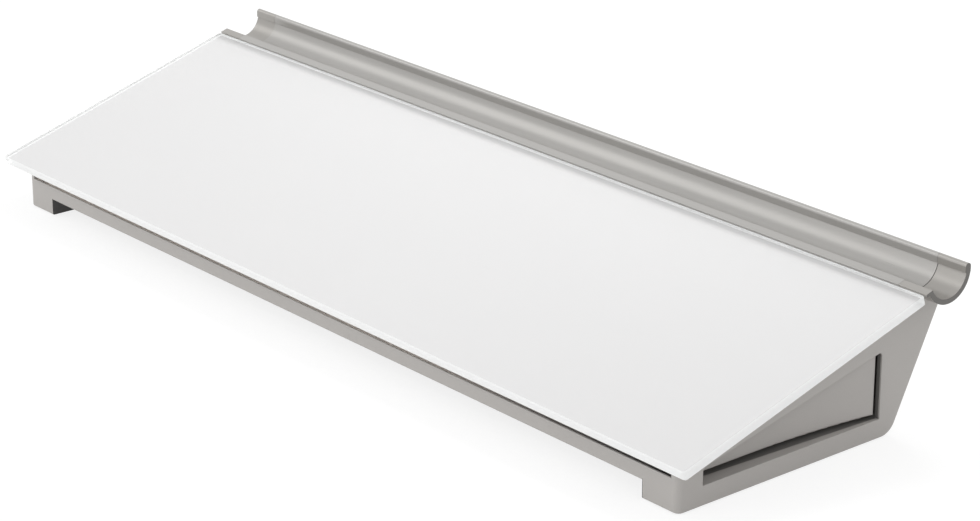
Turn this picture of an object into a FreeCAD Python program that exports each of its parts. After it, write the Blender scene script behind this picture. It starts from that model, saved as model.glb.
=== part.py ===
import FreeCAD, Part
import math
import os
from FreeCAD import Vector

# Glass memo board: a sloping glass writing panel on a moulded wedge housing, with a pen tray
# along the back and a drawer that slides out of the right end.
# Millimetres. X runs left to right, Y front to back, Z up from the desk.

# Glass panel, its white backing and the tape that holds it
board_length = 460.0
glass_depth = 130.3
glass_thickness = 4.0
glass_tilt_degrees = 16.3
glass_front_height = 19.8
glass_corner_radius = 1.8
glass_arris = 0.5
film_thickness = 0.4
film_inset = 1.0
tape_thickness = 1.0
tape_width = 10.0
tape_inset = 3.0

# Pen tray and its end caps
tray_inner_radius = 9.8
tray_wall = 1.2
tray_back_rise = 2.0
tray_centre_rise = 1.5
tray_glass_gap = 2.0
tray_lip_gap = 0.6
tray_lip_drop = 0.1
rim_height = 3.8
rim_inward = 0.5
cap_step = 0.2
cap_length = 14.6
cap_sleeve = 8.0
cap_sleeve_wall = 1.0
cap_sleeve_drop = 7.0
cap_boss_radius = 2.6
cap_boss_inset = 3.4
cap_seat_radius = 4.0
cap_seat_depth = 1.0

# Moulded housing
left_overhang = 8.5
right_overhang = 11.0
front_overhang = 7.2
foot_width = 19.3
foot_wall = 2.0
rail_clearance = 8.0
rail_height = 6.0
housing_wall = 2.5
front_wall = 2.0
rail_lip = 0.7
groove_width = 3.0
groove_floor = 2.5
groove_wall = 2.0
corner_post = 4.0
deck_thickness = 2.5
ledge_height = 8.5
ledge_thickness = 2.0
rear_lean_degrees = 26.6
rear_shoulder = 11.0
rear_top_share = 0.9
cradle_wall = 2.2
front_corner_radius = 2.8
rear_foot_radius = 8.0
side_edge_radius = 0.6
rib_thickness = 1.6
rib_height = 4.0
rib_count = 5
rib_span_share = 0.72

# Rubber pads under the feet
pad_length = 14.0
pad_width = 12.0
pad_corner_radius = 2.0
pad_recess = 1.5
pad_proud = 0.3
pad_inset = 4.0
pad_seat_margin = 3.0

# Bottom plate, its screws and the bosses that take them
plate_recess = 0.5
plate_thickness = 2.0
boss_radius = 2.4
boss_front_offset = 2.3
boss_rear_offset = 5.2
boss_place_shares = (-0.88, 0.0, 0.88)
screw_radius = 1.0
screw_head_radius = 2.0
screw_head_height = 1.5
screw_grip = 7.0

# Opening for the drawer in the right cheek
opening_front_inset = 12.3
opening_rear_inset = 10.85
opening_front_drop = 10.0
opening_rear_drop = 16.4
opening_corner_radius = 1.5

# Drawer front with its scooped face
face_front_gap = 0.8
face_rear_gap = 1.5
face_top_gap = 0.5
face_recess_front = 6.5
face_recess_rear = 1.5
face_depth = 13.0
face_wall = 2.0
face_lift = 1.5
face_scoop_share = 0.28
face_edge_radius = 0.8
face_boss_radius = 3.0
face_screw_shares = (0.45, 0.82)
face_screw_grip = 3.0

# Drawer box, its runners and its stop
box_length = 300.0
box_wall = 1.6
box_floor = 1.6
box_flange = 3.0
box_side_inset = 4.0
box_top_gap = 1.0
box_corner_radius = 3.0
drawer_travel = 220.0
running_gap = 0.5
runner_wall = 1.6
runner_side_gap = 0.4
runner_over_gap = 0.4
runner_lip = 2.4
runner_end_gap = 2.0
runner_ear_length = 10.0
runner_ear_width = 4.4
runner_ear_height = 3.0
runner_ear_shares = (0.15, 0.62)
runner_screw_grip = 2.4
bay_end_gap = 1.5
stop_width = 12.0
stop_thickness = 3.0
stop_rise = 5.0
stop_engagement = 2.8
stop_place_share = 0.78
stop_peg_radius = 2.0
stop_lug_thickness = 3.0
stop_gap = 0.5

# Clearances that several pieces share, and the overrun of cuts
fit_gap = 0.3
close_gap = 0.1
thread_gap = 0.05
overrun = 1.0
touch = 0.01

# Places worked out from the sizes above. The glass sets a sloping frame: "along" runs up the glass
# from its front edge, "above" is square to its underside.
tilt = math.radians(glass_tilt_degrees)
sin_tilt = math.sin(tilt)
cos_tilt = math.cos(tilt)
board_half = board_length / 2

tray_outer_radius = tray_inner_radius + tray_wall
cap_inner_radius = tray_inner_radius + cap_step
cap_sleeve_radius = tray_outer_radius + close_gap
cap_outer_radius = cap_sleeve_radius + cap_sleeve_wall
tray_along = glass_depth + tray_glass_gap + cap_outer_radius
tray_above = glass_thickness + tray_centre_rise
tray_reach = tray_along * cos_tilt - tray_above * sin_tilt
front_reach = (glass_thickness - glass_arris) * sin_tilt
board_depth = front_reach + tray_reach + cap_outer_radius
edge_y = front_reach - board_depth / 2
tray_y = edge_y + tray_reach
tray_z = glass_front_height + tray_along * sin_tilt + tray_above * cos_tilt
seam_x = board_half - cap_length
sleeve_x = seam_x - cap_sleeve
cap_seat_outer_radius = cap_outer_radius + close_gap
cradle_radius = cap_seat_outer_radius + cradle_wall

film_bottom = -film_thickness
deck_top = film_bottom - tape_thickness
deck_under = deck_top - deck_thickness

left_x = left_overhang - board_half
right_x = board_half - right_overhang
left_foot_x = left_x + foot_width
right_foot_x = right_x - foot_width
middle_x = (left_x + right_x) / 2
under_half = (right_foot_x - left_foot_x) / 2
foot_z = pad_proud
front_y = edge_y + front_overhang
groove_front_y = front_y + front_wall
groove_back_y = groove_front_y + groove_width
inner_front_y = groove_back_y + groove_wall
rail_top = rail_clearance + rail_height
groove_floor_z = rail_clearance + groove_floor
rear_slope = math.tan(math.radians(rear_lean_degrees))
rear_run = housing_wall / math.cos(math.radians(rear_lean_degrees))
rear_top = tray_z - rear_top_share * tray_outer_radius

plate_bottom = rail_clearance + plate_recess
plate_top = plate_bottom + plate_thickness
cap_boss_x = right_x - housing_wall - cap_boss_inset - cap_boss_radius
cap_seat_z = tray_z - cradle_radius - cap_seat_depth


def rear_face(z):
    return tray_y + rear_shoulder - (rear_top - z) * rear_slope


def rear_inside(z):
    return rear_face(z) - rear_run


def on_slope(along, above):
    y = edge_y + along * cos_tilt - above * sin_tilt
    z = glass_front_height + along * sin_tilt + above * cos_tilt
    return (y, z)


def slope_height(y, above):
    return glass_front_height + (above + (y - edge_y) * sin_tilt) / cos_tilt


opening_front_y = front_y + opening_front_inset
opening_rear_y = rear_face(ledge_height) - opening_rear_inset
opening_front_top = slope_height(opening_front_y, 0) - opening_front_drop
opening_rear_top = slope_height(opening_rear_y, 0) - opening_rear_drop
opening_slope = (opening_rear_top - opening_front_top) / (opening_rear_y - opening_front_y)


def opening_top(y):
    return opening_front_top + (y - opening_front_y) * opening_slope


face_front_y = opening_front_y + face_front_gap
face_rear_y = opening_rear_y - face_rear_gap
face_width = face_rear_y - face_front_y
face_bottom = ledge_height + face_lift
face_back_x = right_x - face_depth
face_scoop_y = face_front_y + face_scoop_share * face_width
face_screw_ys = [face_front_y + share * face_width for share in face_screw_shares]

box_end_x = face_back_x
box_start_x = box_end_x - box_length
box_front_y = face_front_y + box_side_inset
box_rear_y = face_rear_y - box_side_inset
box_bottom = plate_top + running_gap
box_floor_top = box_bottom + box_floor
flange_front_y = box_front_y - box_flange
flange_rear_y = box_rear_y + box_flange

runner_start_x = box_start_x
runner_end_x = right_foot_x - runner_end_gap
runner_front_y = flange_front_y - runner_side_gap
runner_rear_y = flange_rear_y + runner_side_gap
runner_lip_z = box_floor_top + runner_over_gap
runner_top = runner_lip_z + runner_wall
runner_ear_xs = [runner_start_x + share * (runner_end_x - runner_start_x) for share in runner_ear_shares]
runner_screw_reach = runner_wall + runner_ear_width / 2

boss_xs = [middle_x + share * under_half for share in boss_place_shares]
boss_front_y = inner_front_y + boss_front_offset
boss_rear_y = rear_inside(plate_top) - boss_rear_offset

stop_y = box_front_y + stop_place_share * (box_rear_y - box_front_y)
stop_x = box_start_x + box_wall
stop_top = opening_top(stop_y) - box_top_gap + stop_rise
stop_peg_z = (box_floor_top + opening_top(stop_y)) / 2
lug_x = stop_x + stop_thickness + drawer_travel + stop_gap
lug_bottom = stop_top - stop_engagement


# Building blocks
def slab(points, x_from, x_to):
    corners = [Vector(x_from, y, z) for y, z in points]
    outline = Part.makePolygon(corners + corners[:1])
    return Part.Face(outline).extrude(Vector(x_to - x_from, 0, 0))


def block(x_from, x_to, y_from, y_to, z_from, z_to):
    corner = Vector(min(x_from, x_to), min(y_from, y_to), z_from)
    return Part.makeBox(abs(x_to - x_from), abs(y_to - y_from), z_to - z_from, corner)


def rod_x(radius, x_from, x_to, y, z):
    return Part.makeCylinder(radius, x_to - x_from, Vector(x_from, y, z), Vector(1, 0, 0))


def rod_z(radius, x, y, z_from, z_to):
    return Part.makeCylinder(radius, z_to - z_from, Vector(x, y, z_from), Vector(0, 0, 1))


def line(start, end):
    return Part.LineSegment(start, end).toShape()


def arc(start, middle, end):
    return Part.Arc(start, middle, end).toShape()


def near(value, target):
    return abs(value - target) < touch


def rounded(shape, radius, wanted):
    edges = [edge for edge in shape.Edges if wanted(edge.CenterOfMass, edge.BoundBox)]
    return shape.makeFillet(radius, edges)


def upright_corners(centre, box):
    return near(box.XLength, 0) and near(box.YLength, 0)


def mirrored(shape):
    return shape.mirror(Vector(0, 0, 0), Vector(1, 0, 0))


# A strip or sheet that lies on the slope
def sloping_sheet(x_from, x_to, along_from, along_to, above_from, above_to):
    corners = [
        on_slope(along_from, above_from),
        on_slope(along_to, above_from),
        on_slope(along_to, above_to),
        on_slope(along_from, above_to),
    ]
    return slab(corners, x_from, x_to)


# Glass with rounded corners and ground edges, turned up by its tilt
def make_glass_panel():
    glass = block(-board_half, board_half, 0, glass_depth, 0, glass_thickness)
    glass = rounded(glass, glass_corner_radius, upright_corners)
    rims = [edge for edge in glass.Edges if near(edge.BoundBox.ZLength, 0)]
    glass = glass.makeChamfer(glass_arris, rims)
    glass.rotate(Vector(0, 0, 0), Vector(1, 0, 0), glass_tilt_degrees)
    glass.translate(Vector(0, edge_y, glass_front_height))
    return glass


def make_backing_film():
    reach = board_half - film_inset
    return sloping_sheet(-reach, reach, film_inset, glass_depth - film_inset, film_bottom, 0)


# Foam tape round the deck: along the front, along the back, and up both sides between them
tape_reach = right_x - housing_wall - tape_inset
tape_front_along = (groove_back_y - edge_y) / cos_tilt + tape_inset
tape_rear_along = tray_along - cradle_radius - tape_inset


def make_tape_front():
    last = tape_front_along + tape_width
    return sloping_sheet(-tape_reach, tape_reach, tape_front_along, last, deck_top, film_bottom)


def make_tape_rear():
    first = tape_rear_along - tape_width
    return sloping_sheet(-tape_reach, tape_reach, first, tape_rear_along, deck_top, film_bottom)


def make_tape_right():
    first = tape_front_along + tape_width + fit_gap
    last = tape_rear_along - tape_width - fit_gap
    return sloping_sheet(tape_reach - tape_width, tape_reach, first, last, deck_top, film_bottom)


# Cross-section of the gutter: a lip level with the glass, a round bottom, and a back that ends in a
# thick round-topped rim. The rim is the same on the tray and on its caps.
def gutter_face(x, inner_radius, outer_radius):
    lip_top = glass_thickness - tray_lip_drop
    lip_under = lip_top - tray_wall
    lip_start = glass_depth + tray_lip_gap
    inner_start = tray_along - math.sqrt(inner_radius ** 2 - (tray_above - lip_top) ** 2)
    outer_start = tray_along - math.sqrt(outer_radius ** 2 - (tray_above - lip_under) ** 2)
    rim_inside = tray_inner_radius - rim_inward
    rim_middle = (rim_inside + cap_outer_radius) / 2
    shoulder = tray_back_rise - (cap_outer_radius - rim_inside) / 2
    rim_bottom = tray_back_rise - rim_height

    def place(pair):
        return Vector(x, pair[0], pair[1])

    def from_axis(out, up):
        return Vector(x, tray_y + out, tray_z + up)

    lip_tip = place(on_slope(lip_start, lip_top))
    inner_mouth = place(on_slope(inner_start, lip_top))
    inner_back = from_axis(math.sqrt(inner_radius ** 2 - rim_bottom ** 2), rim_bottom)
    rim_inner_foot = from_axis(rim_inside, rim_bottom)
    rim_inner_shoulder = from_axis(rim_inside, shoulder)
    crown = from_axis(rim_middle, tray_back_rise)
    rim_outer_shoulder = from_axis(cap_outer_radius, shoulder)
    rim_outer_foot = from_axis(cap_outer_radius, rim_bottom)
    outer_back = from_axis(math.sqrt(outer_radius ** 2 - rim_bottom ** 2), rim_bottom)
    outer_mouth = place(on_slope(outer_start, lip_under))
    lip_heel = place(on_slope(lip_start, lip_under))
    edges = [
        line(lip_tip, inner_mouth),
        arc(inner_mouth, from_axis(0, -inner_radius), inner_back),
        line(inner_back, rim_inner_foot),
        line(rim_inner_foot, rim_inner_shoulder),
        arc(rim_inner_shoulder, crown, rim_outer_shoulder),
        line(rim_outer_shoulder, rim_outer_foot),
        line(rim_outer_foot, outer_back),
        arc(outer_back, from_axis(0, -outer_radius), outer_mouth),
        line(outer_mouth, lip_heel),
        line(lip_heel, lip_tip),
    ]
    return Part.Face(Part.Wire(edges))


def make_pen_tray():
    return gutter_face(-seam_x, tray_inner_radius, tray_outer_radius).extrude(Vector(2 * seam_x, 0, 0))


# The end cap carries on the gutter, wraps under the tray as a sleeve and is screwed to the cradle
def make_end_cap_right():
    cap_start = seam_x + close_gap
    channel = gutter_face(cap_start, cap_inner_radius, cap_outer_radius)
    channel = channel.extrude(Vector(board_half - cap_start, 0, 0))
    sleeve = rod_x(cap_outer_radius, sleeve_x, cap_start, tray_y, tray_z)
    sleeve = sleeve.cut(rod_x(cap_sleeve_radius, sleeve_x, cap_start, tray_y, tray_z))
    reach = cap_outer_radius + overrun
    above_sleeve = block(
        sleeve_x - overrun, cap_start, tray_y - reach, tray_y + reach,
        tray_z - cap_sleeve_drop, tray_z + reach)
    sleeve = sleeve.cut(above_sleeve)
    boss = rod_z(cap_boss_radius, cap_boss_x, tray_y, cap_seat_z + close_gap, tray_z)
    boss = boss.cut(rod_x(cap_sleeve_radius, sleeve_x, board_half, tray_y, tray_z))
    cap = channel.fuse([sleeve, boss]).removeSplitter()
    pilot_top = cap_seat_z + cap_screw_length()
    pilot = rod_z(screw_radius + thread_gap, cap_boss_x, tray_y, cap_seat_z, pilot_top)
    return cap.cut(pilot)


# The screw stops short of the sleeve's inner face
def cap_screw_length():
    return tray_z - cap_sleeve_radius - cap_seat_z - cap_sleeve_wall / 2


def make_screw(x, y, head_z, length):
    crown_z = head_z - screw_head_height
    head = rod_z(screw_head_radius, x, y, crown_z, head_z)
    head = rounded(head, screw_head_height / 2, lambda centre, box: near(box.ZMax, crown_z))
    return head.fuse(rod_z(screw_radius, x, y, head_z, head_z + length)).removeSplitter()


def make_end_cap_screws():
    length = cap_screw_length() - close_gap
    screw_right = make_screw(cap_boss_x, tray_y, cap_seat_z, length)
    # The head is broad enough to bear on the seat round the boss
    washer_z = cap_seat_z - screw_head_height / 2
    washer = rod_z(cap_seat_radius - close_gap, cap_boss_x, tray_y, washer_z, cap_seat_z)
    screw_right = screw_right.fuse(washer).removeSplitter()
    return Part.Compound([mirrored(screw_right), screw_right])


# Outside of the wedge: upright front, leaning back, deck under the glass, rounded corners and heels
def housing_body():
    outline = [
        (front_y, foot_z),
        (rear_face(foot_z), foot_z),
        (rear_face(rear_top), rear_top),
        (tray_y, rear_top),
        on_slope(tray_along, deck_top),
        (front_y, slope_height(front_y, deck_top)),
    ]
    body = slab(outline, left_x, right_x)
    heel_y = rear_face(foot_z)

    def on_end(centre):
        return near(centre.x, left_x) or near(centre.x, right_x)

    def behind_heel(centre, box):
        return box.YMin > heel_y - rear_foot_radius and box.ZLength > touch and centre.z < rear_top - touch

    def softened(centre, box):
        return near(box.ZMax, foot_z) or on_end(centre) and behind_heel(centre, box)

    body = rounded(body, front_corner_radius, lambda c, box: on_end(c) and near(c.y, front_y))
    body = rounded(body, rear_foot_radius, lambda c, box: near(c.y, heel_y) and near(c.z, foot_z))
    return rounded(body, side_edge_radius, softened)


# Inside of the wedge down to the given height
def cavity(bottom, x_from, x_to):
    outline = [
        (inner_front_y, bottom),
        (rear_inside(bottom), bottom),
        (rear_inside(rear_top), rear_top),
        on_slope(tray_along, deck_under),
        (inner_front_y, slope_height(inner_front_y, deck_under)),
    ]
    hollow = slab(outline, x_from, x_to)
    return hollow.cut(rod_x(cradle_radius, left_x, right_x, tray_y, tray_z))


# Seats in the cradle for the tray and, deeper, for the caps' sleeves
def cradle_cuts():
    tray_seat = rod_x(cap_sleeve_radius, -board_half, board_half, tray_y, tray_z)
    cap_seat = rod_x(cap_seat_outer_radius, sleeve_x - close_gap, board_half, tray_y, tray_z)
    return [tray_seat, cap_seat, mirrored(cap_seat)]


# Shadow groove under the front edge of the glass, between the two corner posts
def groove_cut():
    chamfer = front_wall - rail_lip
    roof = slope_height(groove_back_y, deck_top) + overrun
    outline = [
        (groove_front_y, groove_floor_z),
        (groove_back_y, groove_floor_z),
        (groove_back_y, roof),
        (front_y - overrun, roof),
        (front_y - overrun, rail_top),
        (front_y + rail_lip, rail_top),
        (groove_front_y, rail_top - chamfer),
    ]
    return slab(outline, left_x + corner_post, right_x - corner_post)


# A foot's hollow underside, with solid seats for the pads at both ends. Outward is +1 at the right end.
def foot_cuts(outer_x, outward):
    pad_x = outer_x - outward * foot_width / 2
    core_front = pad_front_y() + pad_length / 2 + pad_seat_margin
    core_rear = pad_rear_y() - pad_length / 2 - pad_seat_margin
    core_start = outer_x - outward * (foot_width - foot_wall)
    core_end = outer_x - outward * housing_wall
    core_top = ledge_height - ledge_thickness
    core = block(core_start, core_end, core_front, core_rear, foot_z - overrun, core_top)
    core = rounded(core, foot_wall, upright_corners)
    web_front = (core_front + core_rear - rib_thickness) / 2
    web = block(core_start, core_end, web_front, web_front + rib_thickness, foot_z, core_top)
    cuts = [core.cut(web)]
    for pad_y in (pad_front_y(), pad_rear_y()):
        cuts.append(pad_block(pad_x, pad_y, close_gap, foot_z - overrun, foot_z + pad_recess))
    return cuts


def pad_front_y():
    return front_y + pad_inset + pad_length / 2


def pad_rear_y():
    return rear_face(foot_z) - rear_foot_radius - pad_length / 2


def pad_block(x, y, margin, z_from, z_to):
    reach_x = pad_width / 2 + margin
    reach_y = pad_length / 2 + margin
    pad = block(x - reach_x, x + reach_x, y - reach_y, y + reach_y, z_from, z_to)
    return rounded(pad, pad_corner_radius, upright_corners)


def opening_cut():
    outline = [
        (opening_front_y, ledge_height),
        (opening_rear_y, ledge_height),
        (opening_rear_y, opening_rear_top),
        (opening_front_y, opening_front_top),
    ]

    def upper_corner(centre, box):
        return box.XLength > overrun and centre.z > ledge_height + touch

    cut = slab(outline, right_x - housing_wall - overrun, right_x + overrun)
    return rounded(cut, opening_corner_radius, upper_corner)


# Stiffeners inside the wedge: ribs under the deck, the wall that ends the drawer's bay, the lug that
# stops the drawer, and the bosses for the plate's screws
def housing_inside(room):
    pieces = []
    rib_reach = rib_span_share * under_half
    rib_end = tray_y - cradle_radius
    rib_outline = [
        (inner_front_y, slope_height(inner_front_y, deck_under)),
        (rib_end, slope_height(rib_end, deck_under)),
        (rib_end, slope_height(rib_end, deck_under - rib_height)),
        (inner_front_y, slope_height(inner_front_y, deck_under - rib_height)),
    ]
    for index in range(rib_count):
        x = middle_x - rib_reach + 2 * rib_reach * index / (rib_count - 1)
        pieces.append(slab(rib_outline, x - rib_thickness / 2, x + rib_thickness / 2))
    bay_end = box_start_x - bay_end_gap
    pieces.append(block(
        bay_end - rib_thickness, bay_end, inner_front_y, tray_y + rear_shoulder,
        plate_top + close_gap, tray_z))
    pieces.append(block(
        lug_x, lug_x + stop_lug_thickness, stop_y - stop_width, stop_y + stop_width, lug_bottom, tray_z))
    for x, y in plate_screw_places():
        pieces.append(rod_z(boss_radius, x, y, plate_top, tray_z))
    seat = rod_z(cap_seat_radius, cap_boss_x, tray_y, cap_seat_z, tray_z)
    pieces.extend([seat, mirrored(seat)])
    return [piece.common(room) for piece in pieces]


def make_housing():
    room = cavity(ledge_height, left_x + housing_wall, right_x - housing_wall)
    well = cavity(rail_clearance - overrun, left_foot_x, right_foot_x)
    under = block(
        left_foot_x, right_foot_x, front_y - overrun, rear_face(rear_top), foot_z - overrun, rail_clearance)
    shell = housing_body().cut(cradle_cuts() + [room, well, under, groove_cut(), opening_cut()])
    shell = shell.cut(foot_cuts(left_x, -1) + foot_cuts(right_x, 1))
    shell = shell.fuse(housing_inside(room.fuse(well))).removeSplitter()
    pilots = []
    for x, y in plate_screw_places():
        pilots.append(rod_z(screw_radius + thread_gap, x, y, plate_top - overrun, plate_top + screw_grip))
    cap_hole = rod_z(cap_boss_radius + close_gap, cap_boss_x, tray_y, cap_seat_z - overrun, tray_z)
    return shell.cut(pilots + [cap_hole, mirrored(cap_hole)])


def runner_screw_places():
    places = []
    for x in runner_ear_xs:
        places.append((x, runner_front_y - runner_screw_reach))
        places.append((x, runner_rear_y + runner_screw_reach))
    return places


def plate_screw_places():
    return [(x, y) for x in boss_xs for y in (boss_front_y, boss_rear_y)]


def make_bottom_plate():
    outline = [
        (inner_front_y + fit_gap, plate_bottom),
        (rear_inside(plate_bottom) - fit_gap, plate_bottom),
        (rear_inside(plate_top) - fit_gap, plate_top),
        (inner_front_y + fit_gap, plate_top),
    ]
    plate = slab(outline, left_foot_x + fit_gap, right_foot_x - fit_gap)
    holes = []
    for x, y in plate_screw_places() + runner_screw_places():
        holes.append(rod_z(screw_radius + close_gap, x, y, plate_bottom - overrun, plate_top + overrun))
    return plate.cut(holes)


def make_bottom_plate_screws():
    length = plate_thickness + screw_grip - close_gap
    return Part.Compound([make_screw(x, y, plate_bottom, length) for x, y in plate_screw_places()])


def make_runner_screws():
    length = plate_thickness + runner_screw_grip - close_gap
    return Part.Compound([make_screw(x, y, plate_bottom, length) for x, y in runner_screw_places()])


# A runner is an angle that reaches over the drawer's flange, with ears for its screws. The web's
# drawer side is at web_y, and inward is +1 when the drawer lies towards +Y.
def runner(web_y, inward):
    back_y = web_y - inward * runner_wall
    lip_y = web_y + inward * runner_lip
    outline = [
        (back_y, plate_top),
        (web_y, plate_top),
        (web_y, runner_lip_z),
        (lip_y, runner_lip_z),
        (lip_y, runner_top),
        (back_y, runner_top),
    ]
    angle = slab(outline, runner_start_x, runner_end_x)
    ears = []
    holes = []
    ear_y = back_y - inward * runner_ear_width
    hole_y = web_y - inward * runner_screw_reach
    hole_top = plate_top + runner_screw_grip
    for x in runner_ear_xs:
        ears.append(block(
            x - runner_ear_length / 2, x + runner_ear_length / 2, back_y, ear_y,
            plate_top, plate_top + runner_ear_height))
        holes.append(rod_z(screw_radius + thread_gap, x, hole_y, plate_top - overrun, hole_top))
    return angle.fuse(ears).removeSplitter().cut(holes)


def make_runner_front():
    return runner(runner_front_y, 1)


def make_runner_rear():
    return runner(runner_rear_y, -1)


# Side view of the drawer front, drawn in by the inset on every edge
def face_blank(inset, x_from, x_to):
    front = face_front_y + inset
    rear = face_rear_y - inset
    bottom = face_bottom + inset
    top_gap = face_top_gap + inset
    outline = [
        (front, bottom),
        (rear, bottom),
        (rear, opening_top(rear) - top_gap),
        (front, opening_top(front) - top_gap),
    ]
    return slab(outline, x_from, x_to)


# Plan of the drawer front: flat at its front end, then a shallow scoop that swings out to the rear end
def face_plan(depth):
    flat_x = right_x - face_recess_front - depth
    rear_x = right_x - face_recess_rear - depth
    run = face_rear_y - face_scoop_y
    swing = rear_x - flat_x
    scoop_radius = (run ** 2 + swing ** 2) / (2 * swing)
    half_turn = math.asin(run / scoop_radius) / 2
    bend_y = face_scoop_y + scoop_radius * math.sin(half_turn)
    bend_x = flat_x + scoop_radius * (1 - math.cos(half_turn))
    floor_z = foot_z

    def place(x, y):
        return Vector(x, y, floor_z)

    back_x = face_back_x - overrun
    edges = [
        line(place(back_x, face_rear_y), place(back_x, face_front_y)),
        line(place(back_x, face_front_y), place(flat_x, face_front_y)),
        line(place(flat_x, face_front_y), place(flat_x, face_scoop_y)),
        arc(place(flat_x, face_scoop_y), place(bend_x, bend_y), place(rear_x, face_rear_y)),
        line(place(rear_x, face_rear_y), place(back_x, face_rear_y)),
    ]
    return Part.Face(Part.Wire(edges)).extrude(Vector(0, 0, tray_z))


def face_screw_height(y):
    return (face_bottom + opening_top(y) - face_top_gap) / 2


def make_drawer_front():
    def outer_edge(centre, box):
        return box.XMin > face_back_x + touch and not near(centre.y, face_scoop_y)

    front = face_blank(0, face_back_x, right_x).common(face_plan(0))
    front = rounded(front, face_edge_radius, outer_edge)
    hollow = face_blank(face_wall, face_back_x - overrun, right_x).common(face_plan(face_wall))
    bosses = []
    pilots = []
    pilot_end = face_back_x + face_screw_grip
    for y in face_screw_ys:
        z = face_screw_height(y)
        bosses.append(rod_x(face_boss_radius, face_back_x, right_x, y, z).common(front))
        pilots.append(rod_x(screw_radius + thread_gap, face_back_x - overrun, pilot_end, y, z))
    return front.cut(hollow).fuse(bosses).removeSplitter().cut(pilots)


def make_drawer_front_screws():
    screws = []
    head_x = box_end_x - box_wall
    length = box_wall + face_screw_grip - close_gap
    for y in face_screw_ys:
        z = face_screw_height(y)
        head = rod_x(screw_head_radius, head_x - screw_head_height, head_x, y, z)
        screws.append(head.fuse(rod_x(screw_radius, head_x, head_x + length, y, z)).removeSplitter())
    return Part.Compound(screws)


# Open wedge-shaped box with a flange along the foot of each side
def make_drawer_box():
    def wedge(inset, bottom, top_gap, x_from, x_to):
        front = box_front_y + inset
        rear = box_rear_y - inset
        outline = [
            (front, bottom),
            (rear, bottom),
            (rear, opening_top(rear) - top_gap),
            (front, opening_top(front) - top_gap),
        ]
        return slab(outline, x_from, x_to)

    outside = wedge(0, box_bottom, box_top_gap, box_start_x, box_end_x)
    inner_end_x = box_end_x - box_wall
    inside = wedge(box_wall, box_floor_top, -overrun, box_start_x + box_wall, inner_end_x)
    inside = rounded(inside, box_corner_radius, upright_corners)
    front_flange = block(box_start_x, box_end_x, flange_front_y, box_front_y, box_bottom, box_floor_top)
    rear_flange = block(box_start_x, box_end_x, box_rear_y, flange_rear_y, box_bottom, box_floor_top)
    box = outside.cut(inside).fuse([front_flange, rear_flange]).removeSplitter()
    holes = [rod_x(stop_peg_radius + close_gap, box_start_x - overrun, stop_x + overrun, stop_y, stop_peg_z)]
    for y in face_screw_ys:
        z = face_screw_height(y)
        holes.append(rod_x(screw_radius + close_gap, inner_end_x - overrun, box_end_x + overrun, y, z))
    return box.cut(holes)


# Tab inside the box's inner end wall, held by a peg through the wall
def make_drawer_stop():
    def top_corner(centre, box):
        return near(centre.z, stop_top) and near(box.XLength, stop_thickness)

    tab = block(
        stop_x, stop_x + stop_thickness, stop_y - stop_width / 2, stop_y + stop_width / 2,
        box_floor_top, stop_top)
    tab = rounded(tab, stop_thickness / 2, top_corner)
    return tab.fuse(rod_x(stop_peg_radius, box_start_x, stop_x, stop_y, stop_peg_z)).removeSplitter()


def make_foot_pad(x, y):
    return pad_block(x, y, 0, 0, foot_z + pad_recess)


left_pad_x = left_x + foot_width / 2
right_pad_x = right_x - foot_width / 2
pieces = {
    "glass_panel": make_glass_panel(),
    "backing_film": make_backing_film(),
    "tape_front": make_tape_front(),
    "tape_rear": make_tape_rear(),
    "tape_left": mirrored(make_tape_right()),
    "tape_right": make_tape_right(),
    "housing": make_housing(),
    "bottom_plate": make_bottom_plate(),
    "bottom_plate_screws": make_bottom_plate_screws(),
    "foot_pad_front_left": make_foot_pad(left_pad_x, pad_front_y()),
    "foot_pad_front_right": make_foot_pad(right_pad_x, pad_front_y()),
    "foot_pad_rear_left": make_foot_pad(left_pad_x, pad_rear_y()),
    "foot_pad_rear_right": make_foot_pad(right_pad_x, pad_rear_y()),
    "pen_tray": make_pen_tray(),
    "tray_end_cap_left": mirrored(make_end_cap_right()),
    "tray_end_cap_right": make_end_cap_right(),
    "end_cap_screws": make_end_cap_screws(),
    "drawer_box": make_drawer_box(),
    "drawer_front": make_drawer_front(),
    "drawer_front_screws": make_drawer_front_screws(),
    "drawer_runner_front": make_runner_front(),
    "drawer_runner_rear": make_runner_rear(),
    "runner_screws": make_runner_screws(),
    "drawer_stop": make_drawer_stop(),
}

os.makedirs("parts", exist_ok=True)
for name, shape in pieces.items():
    shape.exportStep(f"parts/{name}.step")
    print(name, "solids", len(shape.Solids), "volume", round(shape.Volume), "valid", shape.isValid())
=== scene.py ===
import math
import bmesh
import bpy
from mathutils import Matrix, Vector


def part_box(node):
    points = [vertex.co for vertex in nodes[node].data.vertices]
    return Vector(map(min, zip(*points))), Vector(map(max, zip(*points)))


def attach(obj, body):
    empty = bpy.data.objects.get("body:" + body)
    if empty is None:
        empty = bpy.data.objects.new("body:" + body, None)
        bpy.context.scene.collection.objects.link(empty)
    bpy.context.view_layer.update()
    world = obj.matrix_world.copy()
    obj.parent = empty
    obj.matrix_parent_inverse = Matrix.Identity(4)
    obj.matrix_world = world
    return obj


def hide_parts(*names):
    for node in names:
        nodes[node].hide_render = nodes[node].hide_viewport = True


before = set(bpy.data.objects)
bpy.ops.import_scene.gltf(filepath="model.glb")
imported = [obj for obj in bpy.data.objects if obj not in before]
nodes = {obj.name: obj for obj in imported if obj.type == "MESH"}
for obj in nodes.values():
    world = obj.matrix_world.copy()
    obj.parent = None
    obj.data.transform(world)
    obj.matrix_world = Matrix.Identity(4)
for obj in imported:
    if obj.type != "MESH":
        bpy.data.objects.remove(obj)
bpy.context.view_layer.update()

scene = bpy.context.scene
print("frame loaded:", len(nodes), "nodes")


def newObject(name, data):
    made = bpy.data.objects.new(name, data)
    scene.collection.objects.link(made)
    return made


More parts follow.
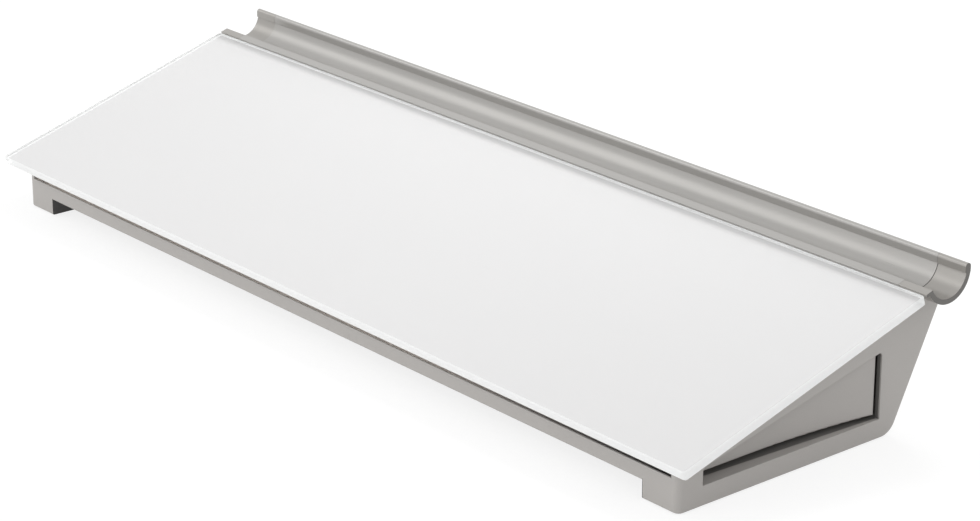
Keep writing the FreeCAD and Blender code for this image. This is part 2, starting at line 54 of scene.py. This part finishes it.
# Camera at the photograph's viewing angle, aimed at a point near the middle of the board
camera = {
    "azimuth": 49.86,
    "elevation": 20.79,
    "distance": 1.2827,
    "target": (0.0172, 0.0136, 0.0216),
    "lens": 110.5,
    "sensor": 36.0,
    "clipStart": 0.01,
}


def placeCamera(c):
    azimuth = math.radians(c["azimuth"])
    elevation = math.radians(c["elevation"])
    level = math.cos(elevation)
    back = Vector((math.sin(azimuth) * level, -math.cos(azimuth) * level, math.sin(elevation)))
    data = bpy.data.cameras.new("photoCamera")
    data.lens = c["lens"]
    data.sensor_width = c["sensor"]
    data.sensor_fit = "HORIZONTAL"
    data.clip_start = c["clipStart"]
    cam = newObject("photoCamera", data)
    cam.location = Vector(c["target"]) + back * c["distance"]
    cam.rotation_euler = back.to_track_quat("Z", "Y").to_euler()
    scene.camera = cam


placeCamera(camera)
scene.view_settings.view_transform = "Standard"
print("camera placed")


# Small helpers for node trees
def add(tree, kind, **values):
    node = tree.nodes.new(kind)
    for key, value in values.items():
        setattr(node, key, value)
    return node


def newMaterial(name):
    mat = bpy.data.materials.new(name)
    mat.use_nodes = True
    tree = mat.node_tree
    tree.nodes.clear()
    out = add(tree, "ShaderNodeOutputMaterial", name="surface")
    shader = add(tree, "ShaderNodeBsdfPrincipled")
    tree.links.new(shader.outputs["BSDF"], out.inputs["Surface"])
    return mat, tree, shader


def showInstead(tree, surface):
    tree.links.new(surface, tree.nodes["surface"].inputs["Surface"])


def mixShaders(tree, fac, first, second):
    mix = add(tree, "ShaderNodeMixShader")
    for socket, source in zip(mix.inputs, (fac, first, second)):
        tree.links.new(source, socket)
    return mix.outputs["Shader"]


def maths(tree, operation, *values):
    node = add(tree, "ShaderNodeMath", operation=operation)
    for socket, value in zip(node.inputs, values):
        if isinstance(value, bpy.types.NodeSocket):
            tree.links.new(value, socket)
        else:
            socket.default_value = value
    return node.outputs[0]


# Masks are 1 inside and 0 outside
def within(tree, value, low, high):
    return maths(tree, "COMPARE", value, (low + high) / 2, (high - low) / 2)


def allOf(tree, mask, *others):
    for other in others:
        mask = maths(tree, "MULTIPLY", mask, other)
    return mask


def objectCoords(tree, stretch=(1, 1, 1)):
    coords = add(tree, "ShaderNodeTexCoord")
    mapping = add(tree, "ShaderNodeMapping")
    mapping.inputs["Scale"].default_value = stretch
    tree.links.new(coords.outputs["Object"], mapping.inputs["Vector"])
    return mapping.outputs["Vector"]


def objectAxes(tree):
    axes = add(tree, "ShaderNodeSeparateXYZ")
    tree.links.new(objectCoords(tree), axes.inputs[0])
    return axes.outputs


def noise(tree, vector, scale, detail, rough=0.5):
    tex = add(tree, "ShaderNodeTexNoise")
    tex.inputs["Scale"].default_value = scale
    tex.inputs["Detail"].default_value = detail
    tex.inputs["Roughness"].default_value = rough
    tree.links.new(vector, tex.inputs["Vector"])
    return tex.outputs["Fac"]


def cells(tree, vector, scale):
    tex = add(tree, "ShaderNodeTexVoronoi")
    tex.inputs["Scale"].default_value = scale
    tree.links.new(vector, tex.inputs["Vector"])
    return tex.outputs["Distance"]


def remap(tree, value, low, high, start=0.25, end=0.75):
    node = add(tree, "ShaderNodeMapRange")
    node.inputs["From Min"].default_value = start
    node.inputs["From Max"].default_value = end
    node.inputs["To Min"].default_value = low
    node.inputs["To Max"].default_value = high
    tree.links.new(value, node.inputs["Value"])
    return node.outputs["Result"]


def mottled(tree, fac, colour, low, high):
    mix = add(tree, "ShaderNodeMix", data_type="RGBA")
    for socket, factor in (("A", low), ("B", high)):
        mix.inputs[socket].default_value = (*[channel * factor for channel in colour], 1)
    tree.links.new(fac, mix.inputs["Factor"])
    return mix.outputs["Result"]


def scaled(tree, colour, factor):
    scale = add(tree, "ShaderNodeVectorMath", operation="SCALE")
    tree.links.new(colour, scale.inputs["Vector"])
    tree.links.new(factor, scale.inputs["Scale"])
    return scale.outputs["Vector"]


def toned(tree, colour, fac, low, high):
    return scaled(tree, colour, remap(tree, fac, low, high))


def bump(tree, height, strength, distance, normal=None):
    node = add(tree, "ShaderNodeBump")
    node.inputs["Strength"].default_value = strength
    node.inputs["Distance"].default_value = distance
    tree.links.new(height, node.inputs["Height"])
    if normal:
        tree.links.new(normal, node.inputs["Normal"])
    return node.outputs["Normal"]


def softEdges(tree, radius, samples=6):
    node = add(tree, "ShaderNodeBevel", samples=samples)
    node.inputs["Radius"].default_value = radius
    return node.outputs["Normal"]


def dress(mat, *names):
    for name in names:
        for slot in nodes[name].material_slots:
            slot.material = mat


# Painted shade on the housing: the inner faces of the feet and the ledge and rear wall around the drawer's
# front are darkened as shade, and the groove under the glass gets painted light at its left end and painted
# shade at its right
housingPaintedShade = {
    "footWidth": 0.0193,
    "footFit": 0.0003,
    "footTop": 0.0082,
    "footShadeTone": 0.12,
    "frontGap": 0.0008,  # from the drawer's front to the ends of its opening
    "rearGap": 0.0015,
    "ledgeDrop": 0.0015,  # from the drawer's front down to the ledge
    "ledgeFit": 0.0002,
    "ledgeSpan": (0.019, 0.0002),  # measured inwards from the right cheek
    "ledgeShadeFade": (-0.0006, 0.0006),
    "frontRecess": 0.0065,  # how far the drawer's face lies behind the cheek, front and rear
    "rearRecess": 0.0015,
    "wallSpan": (0.0107, 0.0007),
    "wallFit": 0.0003,
    "openingShadeTone": 0.35,
    "grooveSpan": (0.0018, 0.0056),  # measured from the front of the housing
    "grooveFloor": 0.0102,
    "postWidth": 0.0039,
    "grooveLightShadeFade": (0.07, 0.22),
    "grooveLightShadeScale": (1.0, -0.75),
}


# Painted shade: the inner faces of the feet, under the housing, darkened
def paintFootShade(tree, colour, shadeMarks):
    x, _, z = objectAxes(tree)
    low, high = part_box("housing")
    innerFaces = (low[0] + shadeMarks["footWidth"], high[0] - shadeMarks["footWidth"])
    feet = [maths(tree, "COMPARE", x, face, shadeMarks["footFit"]) for face in innerFaces]
    footShade = allOf(tree, maths(tree, "MAXIMUM", *feet), maths(tree, "LESS_THAN", z, shadeMarks["footTop"]))
    return toned(tree, colour, footShade, 1, shadeMarks["footShadeTone"])


# Painted shade: the ledge under the drawer's front and the opening's rear wall, darkened
def paintOpeningShade(tree, colour, shadeMarks):
    x, y, z = objectAxes(tree)
    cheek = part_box("housing")[1][0]
    faceLow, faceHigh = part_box("drawer_front")
    openingFront = faceLow[1] - shadeMarks["frontGap"]
    openingRear = faceHigh[1] + shadeMarks["rearGap"]
    slope = (shadeMarks["frontRecess"] - shadeMarks["rearRecess"]) / (faceHigh[1] - faceLow[1])
    faceLine = maths(tree, "MULTIPLY_ADD", y, slope, cheek - shadeMarks["rearRecess"] - slope * faceHigh[1])
    ledgeX, wallX = [[cheek - inset for inset in shadeMarks[span]] for span in ("ledgeSpan", "wallSpan")]
    ledgeShade = allOf(tree, remap(tree, maths(tree, "SUBTRACT", x, faceLine), 1, 0, *shadeMarks["ledgeShadeFade"]),
                  within(tree, x, *ledgeX), within(tree, y, openingFront, openingRear),
                  maths(tree, "COMPARE", z, faceLow[2] - shadeMarks["ledgeDrop"], shadeMarks["ledgeFit"]))
    wallShade = allOf(tree, maths(tree, "GREATER_THAN", z, shadeMarks["footTop"]), within(tree, x, *wallX),
                 maths(tree, "COMPARE", y, openingRear, shadeMarks["wallFit"]))
    return toned(tree, colour, maths(tree, "MAXIMUM", ledgeShade, wallShade), 1, shadeMarks["openingShadeTone"])


# Painted light and shade: the groove under the glass lightened towards its left end and darkened towards its
# right
def paintGrooveLightAndShade(tree, colour, shadeMarks):
    x, y, z = objectAxes(tree)
    low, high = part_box("housing")
    grooveY = [low[1] + inset for inset in shadeMarks["grooveSpan"]]
    grooveShade = allOf(tree, within(tree, x, low[0] + shadeMarks["postWidth"], high[0] - shadeMarks["postWidth"]),
                   within(tree, y, *grooveY), maths(tree, "GREATER_THAN", z, shadeMarks["grooveFloor"]))
    grooveLightAndShade = remap(tree, x, *shadeMarks["grooveLightShadeScale"], *shadeMarks["grooveLightShadeFade"])
    return scaled(tree, colour, maths(tree, "MULTIPLY_ADD", grooveShade, grooveLightAndShade, 1))


# Moulded plastic: softened edges, fine spark-eroded grain, faint flow marks, uneven satin
mouldedSkin = {"detail": 3, "mottle": (0.97, 1.03), "grainRoughness": 0.6, "satinSpread": 0.06, "bump": 0.4}
greyMoulding = {"colour": (0.480, 0.460, 0.440), "roughness": 0.46, "flow": 12, "grain": 3200,
                "depth": 0.00002, "edge": 0.0004, "specular": 0.45}
drawerMoulding = {"colour": (0.33, 0.318, 0.30), "roughness": 0.50, "flow": 10, "grain": 2600,
                  "depth": 0.00002, "edge": 0.0003, "specular": 0.4}
darkMoulding = {"colour": (0.105, 0.103, 0.10), "roughness": 0.55, "flow": 9, "grain": 1700,
                "depth": 0.00004, "edge": 0.0003, "specular": 0.4}
runnerMoulding = {"colour": (0.66, 0.655, 0.63), "roughness": 0.36, "flow": 16, "grain": 4200,
                  "depth": 0.00001, "edge": 0.0002, "specular": 0.5}


def mouldedPlastic(name, look, shadeMarks=None):
    mat, tree, shader = newMaterial(name)
    skin = mouldedSkin
    vector = objectCoords(tree)
    flow = noise(tree, vector, look["flow"], skin["detail"])
    grain = noise(tree, vector, look["grain"], skin["detail"], skin["grainRoughness"])
    colour = toned(tree, mottled(tree, flow, look["colour"], *skin["mottle"]), grain, *skin["mottle"])
    # painted shade in the housing's deep places, and painted light at the groove's left end
    if shadeMarks:
        for paintShade in (paintFootShade, paintOpeningShade, paintGrooveLightAndShade):
            colour = paintShade(tree, colour, shadeMarks)
    satin = [look["roughness"] + side * skin["satinSpread"] for side in (-1, 1)]
    relief = bump(tree, grain, skin["bump"], look["depth"], softEdges(tree, look["edge"]))
    tree.links.new(colour, shader.inputs["Base Color"])
    tree.links.new(remap(tree, grain, *satin), shader.inputs["Roughness"])
    tree.links.new(relief, shader.inputs["Normal"])
    shader.inputs["Specular IOR Level"].default_value = look["specular"]
    return mat


dress(mouldedPlastic("housingMouldingPaintedShade", greyMoulding, housingPaintedShade), "housing")
dress(mouldedPlastic("greyMoulding", greyMoulding), "drawer_front")
dress(mouldedPlastic("drawerMoulding", drawerMoulding), "drawer_box")
dress(mouldedPlastic("darkMoulding", darkMoulding), "bottom_plate")
dress(mouldedPlastic("runnerMoulding", runnerMoulding),
      "drawer_runner_front", "drawer_runner_rear", "drawer_stop")


# Foam and rubber: small open cells or a pebbled skin, nearly no shine
cellSkin = {"dust": 60, "detail": 3, "dustTone": (0.8, 1.25), "poreTone": (0.75, 1.2), "bump": 0.6,
            "specular": 0.25}
padRubber = {"colour": (0.035, 0.035, 0.036), "cells": 1400, "depth": 0.00012, "roughness": 0.72}
foamTape = {"colour": (0.06, 0.06, 0.06), "cells": 3000, "depth": 0.00015, "roughness": 0.95}


def cellular(name, look):
    mat, tree, shader = newMaterial(name)
    skin = cellSkin
    vector = objectCoords(tree)
    pores = cells(tree, vector, look["cells"])
    dusty = noise(tree, vector, skin["dust"], skin["detail"])
    tone = mottled(tree, dusty, look["colour"], *skin["dustTone"])
    tree.links.new(toned(tree, tone, pores, *skin["poreTone"]), shader.inputs["Base Color"])
    tree.links.new(bump(tree, pores, skin["bump"], look["depth"]), shader.inputs["Normal"])
    shader.inputs["Roughness"].default_value = look["roughness"]
    shader.inputs["Specular IOR Level"].default_value = skin["specular"]
    return mat


dress(cellular("padRubber", padRubber),
      "foot_pad_front_left", "foot_pad_front_right", "foot_pad_rear_left", "foot_pad_rear_right")
dress(cellular("foamTape", foamTape), "tape_front", "tape_rear", "tape_left", "tape_right")


# Extruded aluminium with a satin finish: fine lines along its length. The caps have a sprayed finish like
# it, with painted shade on their end faces, which face away from the light
metalSkin = {"lineDetail": 4, "lineRoughness": 0.7, "broad": 18, "broadDetail": 2, "mottle": (0.97, 1.03),
             "satinSpread": 0.04, "bump": 0.2, "depth": 0.00001, "edge": 0.0002}
satinAluminium = {"colour": (0.412, 0.402, 0.386), "metallic": 0.5, "roughness": 0.31, "lines": 2600,
                  "stretch": (0.015, 1, 1)}
sprayedCap = {"colour": (0.376, 0.362, 0.341), "metallic": 0.5, "roughness": 0.31, "lines": 3600,
              "stretch": (1, 1, 1), "endShadeFit": 0.0001, "endShadeTone": 0.4}
platedSteel = {"colour": (0.56, 0.55, 0.52), "metallic": 1.0, "roughness": 0.28, "lines": 1800,
               "stretch": (1, 1, 1)}


# Painted shade: the caps' end faces darkened
def paintEndShade(tree, colour, look):
    x = objectAxes(tree)["X"]
    shadedEnds = (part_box("tray_end_cap_left")[0][0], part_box("tray_end_cap_right")[1][0])
    endShade = [maths(tree, "COMPARE", x, end, look["endShadeFit"]) for end in shadedEnds]
    return toned(tree, colour, maths(tree, "MAXIMUM", *endShade), 1, look["endShadeTone"])


def satinMetal(name, look):
    mat, tree, shader = newMaterial(name)
    skin = metalSkin
    along = objectCoords(tree, look["stretch"])
    lines = noise(tree, along, look["lines"], skin["lineDetail"], skin["lineRoughness"])
    broad = noise(tree, objectCoords(tree), skin["broad"], skin["broadDetail"])
    colour = toned(tree, mottled(tree, broad, look["colour"], *skin["mottle"]), lines, *skin["mottle"])
    # painted shade on the caps' end faces
    if "endShadeTone" in look:
        colour = paintEndShade(tree, colour, look)
    satin = [look["roughness"] + side * skin["satinSpread"] for side in (-1, 1)]
    relief = bump(tree, lines, skin["bump"], skin["depth"], softEdges(tree, skin["edge"]))
    tree.links.new(colour, shader.inputs["Base Color"])
    tree.links.new(remap(tree, lines, *satin), shader.inputs["Roughness"])
    tree.links.new(relief, shader.inputs["Normal"])
    shader.inputs["Metallic"].default_value = look["metallic"]
    return mat


screwSteel = satinMetal("platedSteel", platedSteel)
dress(satinMetal("satinAluminium", satinAluminium), "pen_tray")
dress(satinMetal("sprayedCap", sprayedCap), "tray_end_cap_left", "tray_end_cap_right")


# Clear glass that lets light and shadow through to the white film behind it, with finely ground edges
panelTilt = math.radians(16.3)
panelUp = Vector((0, -math.sin(panelTilt), math.cos(panelTilt)))
panelAlong = Vector((0, math.cos(panelTilt), math.sin(panelTilt)))
glassLook = {"colour": (0.972, 0.984, 0.980), "index": 1.5, "roughness": 0.015, "wipe": 30, "wipeDetail": 3,
             "wipeTone": 1.005, "edgeRoughness": 0.3, "edgeClear": 0.45, "edgeTurn": (0.9, 0.98)}


def clearGlass(look):
    mat, tree, shader = newMaterial("clearGlass")
    wipe = noise(tree, objectCoords(tree), look["wipe"], look["wipeDetail"])
    smears = remap(tree, wipe, look["roughness"], 2 * look["roughness"])
    facing = add(tree, "ShaderNodeVectorMath", operation="DOT_PRODUCT")
    facing.inputs[1].default_value = panelUp
    tree.links.new(add(tree, "ShaderNodeTexCoord").outputs["Normal"], facing.inputs[0])
    across = maths(tree, "ABSOLUTE", facing.outputs["Value"])
    ground = remap(tree, across, look["edgeRoughness"], 0, *look["edgeTurn"])
    clear = remap(tree, across, look["edgeClear"], 1, *look["edgeTurn"])
    tree.links.new(mottled(tree, wipe, look["colour"], 1, look["wipeTone"]), shader.inputs["Base Color"])
    tree.links.new(clear, shader.inputs["Transmission Weight"])
    tree.links.new(maths(tree, "MAXIMUM", ground, smears), shader.inputs["Roughness"])
    shader.inputs["IOR"].default_value = look["index"]
    path = add(tree, "ShaderNodeLightPath").outputs
    passing = maths(tree, "MAXIMUM", path["Is Shadow Ray"], path["Is Diffuse Ray"])
    seeThrough = add(tree, "ShaderNodeBsdfTransparent")
    showInstead(tree, mixShaders(tree, passing, shader.outputs["BSDF"], seeThrough.outputs["BSDF"]))
    return mat


dress(clearGlass(glassLook), "glass_panel")
print("materials made")


# White film, printed on the glass: the CAD sheet raised a hair so that it touches the glass inside, and
# brought nearer to the back edge, where no dark rim shows beside the tray
filmLook = {"colour": (0.732, 0.724, 0.726), "roughness": 0.55, "cloud": 25, "cloudDetail": 3,
            "cloudTone": (0.995, 1.005), "fine": 5000, "fineDetail": 2, "fineTone": (0.996, 1.004),
            "raise": 0.00004, "reach": 0.0008, "mergeDistance": 0.000001}


def filmWhite(look):
    mat, tree, shader = newMaterial("whiteFilm")
    vector = objectCoords(tree)
    cloudy = noise(tree, vector, look["cloud"], look["cloudDetail"])
    fine = noise(tree, vector, look["fine"], look["fineDetail"])
    tone = mottled(tree, cloudy, look["colour"], *look["cloudTone"])
    tree.links.new(toned(tree, tone, fine, *look["fineTone"]), shader.inputs["Base Color"])
    shader.inputs["Roughness"].default_value = look["roughness"]
    return mat


def makeFilm(look):
    mesh = nodes["backing_film"].data.copy()
    sheet = bmesh.new()
    sheet.from_mesh(mesh)
    bmesh.ops.remove_doubles(sheet, verts=sheet.verts, dist=look["mergeDistance"])
    bmesh.ops.translate(sheet, verts=sheet.verts, vec=panelUp * look["raise"])
    rear = [vertex for vertex in sheet.verts if vertex.co.dot(panelAlong) > 0]
    bmesh.ops.translate(sheet, verts=rear, vec=panelAlong * look["reach"])
    sheet.to_mesh(mesh)
    sheet.free()
    mesh.materials.clear()
    mesh.materials.append(filmWhite(look))
    film = newObject("printedFilm", mesh)
    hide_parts("backing_film")
    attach(film, "board")


makeFilm(filmLook)
print("film made")


# Pan-head screws with a cross recess and rings of thread, one row for each group of CAD screws
screwLook = {
    "headRadius": 0.002,
    "headHeight": 0.0015,
    "crownSteps": 6,
    "shankRadius": 0.001,
    "rootRadius": 0.00082,
    "pitch": 0.0006,
    "armReach": 0.00125,
    "armWidth": 0.00028,
    "recess": 0.0009,
    "recessRise": 1.2,  # the cutter starts this many head heights above the seat
    "recessTaper": 0.6,
    "sides": 32,
    "sharpAngle": 32,
    "reach": 0.0081,  # points of one CAD screw lie nearer than this to each other
    "seed": 7,
}
screwRows = {
    "bottom_plate_screws": {"body": "board", "axis": 2, "washer": 0},
    "runner_screws": {"body": "board", "axis": 2, "washer": 0},
    "end_cap_screws": {"body": "board", "axis": 2, "washer": 0.0039},
    "drawer_front_screws": {"body": "drawer", "axis": 0, "washer": 0},
}


def newMesh(name, verts, faces):
    mesh = bpy.data.meshes.new(name)
    mesh.from_pydata(verts, [], faces)
    return mesh


def bakedMesh(piece):
    graph = bpy.context.evaluated_depsgraph_get()
    return bpy.data.meshes.new_from_object(piece.evaluated_get(graph))


def lathe(name, profile, sides):
    verts = []
    faces = []
    for radius, height in profile:
        for side in range(sides):
            turn = 2 * math.pi * side / sides
            verts.append((radius * math.cos(turn), radius * math.sin(turn), height))
    for ring in range(len(profile) - 1):
        for side in range(sides):
            after = (side + 1) % sides
            faces.append((ring * sides + side, ring * sides + after,
                          (ring + 1) * sides + after, (ring + 1) * sides + side))
    faces.append(tuple(reversed(range(sides))))
    faces.append(tuple((len(profile) - 1) * sides + side for side in range(sides)))
    return newObject(name, newMesh(name, verts, faces))


def crossCutter(s):
    arm, wide, taper = s["armReach"], s["armWidth"], s["recessTaper"]
    outline = [(arm, -wide), (arm, wide), (wide, wide), (wide, arm), (-wide, arm), (-wide, wide),
               (-arm, wide), (-arm, -wide), (-wide, -wide), (-wide, -arm), (wide, -arm), (wide, -wide)]
    count = len(outline)
    outer = -s["recessRise"] * s["headHeight"]
    inner = s["recess"] - s["headHeight"]
    verts = [(x, y, outer) for x, y in outline] + [(taper * x, taper * y, inner) for x, y in outline]
    faces = [tuple(reversed(range(count))), tuple(range(count, 2 * count))]
    for side in range(count):
        after = (side + 1) % count
        faces.append((side, after, count + after, count + side))
    return newObject("crossCutter", newMesh("crossCutter", verts, faces))


def screwProfile(s, length, washer):
    crown = s["headHeight"] / 2
    profile = []
    for step in range(s["crownSteps"] + 1):
        turn = math.radians(90 * step / s["crownSteps"])
        profile.append((s["headRadius"] - crown + crown * math.sin(turn), -crown - crown * math.cos(turn)))
    profile.append((s["headRadius"], -crown))
    if washer:
        profile.append((washer, -crown))
        profile.append((washer, 0))
    else:
        profile.append((s["headRadius"], 0))
    profile.append((s["rootRadius"], 0))
    height = s["pitch"]
    while height < length - s["pitch"]:
        profile.append((s["rootRadius"], height))
        profile.append((s["shankRadius"], height + s["pitch"] / 2))
        height += s["pitch"]
    profile.append((s["rootRadius"], length - s["pitch"] / 2))
    profile.append((s["rootRadius"] / 2, length))
    return profile


def makeScrew(s, length, washer):
    blank = lathe("screwBlank", screwProfile(s, length, washer), s["sides"])
    cutter = crossCutter(s)
    cut = blank.modifiers.new("recess", "BOOLEAN")
    cut.object = cutter
    cut.solver = "EXACT"
    mesh = bakedMesh(blank)
    mesh.shade_smooth()
    mesh.set_sharp_from_angle(angle=math.radians(s["sharpAngle"]))
    for piece in (blank, cutter):
        bpy.data.objects.remove(piece)
    return newObject("screw", mesh)


# The middle of each CAD screw of a group, at the outer face of its head
def screwPlaces(node, axis):
    across = [i for i in range(3) if i != axis]
    groups = []
    for vertex in nodes[node].data.vertices:
        for group in groups:
            if all(abs(vertex.co[i] - group[0][i]) < screwLook["reach"] for i in across):
                group.append(vertex.co)
                break
        else:
            groups.append([vertex.co])
    centres = []
    for group in groups:
        centre = [(min(v[i] for v in group) + max(v[i] for v in group)) / 2 for i in range(3)]
        centre[axis] = min(v[axis] for v in group)
        centres.append(centre)
    return centres


def screwTree():
    tree = bpy.data.node_groups.new("screwRow", "GeometryNodeTree")
    face = tree.interface
    inputs = {"Points": "Geometry", "Screw": "Object", "Tilt": "Vector", "Turn seed": "Int",
              "Finish": "Material"}
    sockets = {}
    for name, kind in inputs.items():
        sockets[name] = face.new_socket(name, in_out="INPUT", socket_type="NodeSocket" + kind)
    face.new_socket("Screws", in_out="OUTPUT", socket_type="NodeSocketGeometry")
    source = add(tree, "NodeGroupInput")
    target = add(tree, "NodeGroupOutput")
    info = add(tree, "GeometryNodeObjectInfo")
    spin = add(tree, "FunctionNodeRandomValue", data_type="FLOAT")
    spin.inputs["Max"].default_value = 2 * math.pi
    turned = add(tree, "ShaderNodeCombineXYZ")
    lean = add(tree, "FunctionNodeEulerToRotation")
    about = add(tree, "FunctionNodeEulerToRotation")
    both = add(tree, "FunctionNodeRotateRotation", rotation_space="LOCAL")
    scatter = add(tree, "GeometryNodeInstanceOnPoints")
    real = add(tree, "GeometryNodeRealizeInstances")
    finish = add(tree, "GeometryNodeSetMaterial")
    link = tree.links.new
    randomOut = [s for s in spin.outputs if s.enabled][0]
    link(source.outputs["Screw"], info.inputs["Object"])
    link(source.outputs["Turn seed"], spin.inputs["Seed"])
    link(randomOut, turned.inputs["Z"])
    link(source.outputs["Tilt"], lean.inputs[0])
    link(turned.outputs[0], about.inputs[0])
    link(lean.outputs[0], both.inputs[0])
    link(about.outputs[0], both.inputs[1])
    link(source.outputs["Points"], scatter.inputs["Points"])
    link(info.outputs["Geometry"], scatter.inputs["Instance"])
    link(both.outputs[0], scatter.inputs["Rotation"])
    link(scatter.outputs["Instances"], real.inputs["Geometry"])
    link(real.outputs["Geometry"], finish.inputs["Geometry"])
    link(source.outputs["Finish"], finish.inputs["Material"])
    link(finish.outputs["Geometry"], target.inputs["Screws"])
    return tree, sockets


def makeScrewRow(node, row, tree, sockets):
    axis = row["axis"]
    low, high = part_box(node)
    length = high[axis] - low[axis] - screwLook["headHeight"]
    screw = makeScrew(screwLook, length, row["washer"])
    centres = screwPlaces(node, axis)
    for centre in centres:
        centre[axis] += screwLook["headHeight"]
    holder = newObject(node + "Points", newMesh(node + "Points", centres, []))
    repeat = holder.modifiers.new("row", "NODES")
    repeat.node_group = tree
    repeat[sockets["Screw"].identifier] = screw
    repeat[sockets["Tilt"].identifier] = (0.0, math.pi / 2 if axis == 0 else 0.0, 0.0)
    repeat[sockets["Turn seed"].identifier] = screwLook["seed"]
    repeat[sockets["Finish"].identifier] = screwSteel
    made = bakedMesh(holder)
    for piece in (holder, screw):
        bpy.data.objects.remove(piece)
    screws = newObject(node + "Row", made)
    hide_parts(node)
    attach(screws, row["body"])
    print(node, len(centres), "screws,", len(made.polygons), "faces")


rowTree, rowSockets = screwTree()
for node, row in screwRows.items():
    makeScrewRow(node, row, rowTree, rowSockets)
print("screws made")


# Floor and world: white to the camera, plain light to the object. From below, the floor is clear
stage = {"floorSize": 6.0, "floorDrop": 0.0002, "floorColour": (0.8, 0.8, 0.8), "floorGlow": 0.82,
         "floorShare": (0.22, 0.22, 0.22), "worldLight": 0.780}


def seenDirectly(tree):
    path = add(tree, "ShaderNodeLightPath").outputs
    either = maths(tree, "MAXIMUM", path["Is Camera Ray"], path["Is Transmission Ray"])
    return maths(tree, "MAXIMUM", either, path["Is Glossy Ray"])


def makeFloor(s):
    half = s["floorSize"] / 2
    low = -s["floorDrop"]
    corners = [(-half, -half, low), (half, -half, low), (half, half, low), (-half, half, low)]
    mesh = newMesh("floor", corners, [(0, 1, 2, 3)])
    floor = newObject("floor", mesh)
    mat, tree, shader = newMaterial("paleFloor")
    tree.nodes.remove(shader)
    plain = add(tree, "ShaderNodeBsdfDiffuse")
    plain.inputs["Color"].default_value = (*s["floorColour"], 1)
    faint = add(tree, "ShaderNodeBsdfDiffuse")
    faint.inputs["Color"].default_value = (*s["floorShare"], 1)
    glow = add(tree, "ShaderNodeEmission")
    glow.inputs["Strength"].default_value = s["floorGlow"]
    lit = add(tree, "ShaderNodeAddShader")
    tree.links.new(faint.outputs["BSDF"], lit.inputs[0])
    tree.links.new(glow.outputs["Emission"], lit.inputs[1])
    above = mixShaders(tree, seenDirectly(tree), plain.outputs["BSDF"], lit.outputs["Shader"])
    below = add(tree, "ShaderNodeNewGeometry").outputs["Backfacing"]
    seeThrough = add(tree, "ShaderNodeBsdfTransparent")
    showInstead(tree, mixShaders(tree, below, above, seeThrough.outputs["BSDF"]))
    mesh.materials.append(mat)


def makeWorld(s):
    world = bpy.data.worlds.new("studio")
    scene.world = world
    world.use_nodes = True
    tree = world.node_tree
    tree.nodes.clear()
    out = add(tree, "ShaderNodeOutputWorld")
    dim = add(tree, "ShaderNodeBackground")
    white = add(tree, "ShaderNodeBackground")
    for background in (dim, white):
        background.inputs["Color"].default_value = (1, 1, 1, 1)
    dim.inputs["Strength"].default_value = s["worldLight"]
    mix = mixShaders(tree, seenDirectly(tree), dim.outputs["Background"], white.outputs["Background"])
    tree.links.new(mix, out.inputs["Surface"])


lamps = {
    "keySoftbox": {"place": (-1.75, -1.03, 1.53), "size": (1.3, 1.3), "watts": 6.00, "mirrored": True},
    "backSoftbox": {"place": (-0.03, 0.33, 0.55), "size": (0.2, 0.2), "watts": 1.50, "mirrored": False},
    "frontFill": {"place": (-0.3, -1.6, 0.5), "size": (1.0, 0.8), "watts": 4.70, "mirrored": True},
}


def makeLamps(target):
    for name, lamp in lamps.items():
        data = bpy.data.lights.new(name, "AREA")
        data.shape = "RECTANGLE"
        data.size, data.size_y = lamp["size"]
        data.energy = lamp["watts"]
        light = newObject(name, data)
        light.location = lamp["place"]
        light.visible_glossy = lamp["mirrored"]
        aim = Vector(lamp["place"]) - Vector(target)
        light.rotation_euler = aim.to_track_quat("Z", "Y").to_euler()


makeFloor(stage)
makeWorld(stage)
makeLamps(camera["target"])
print("stage and lamps made")
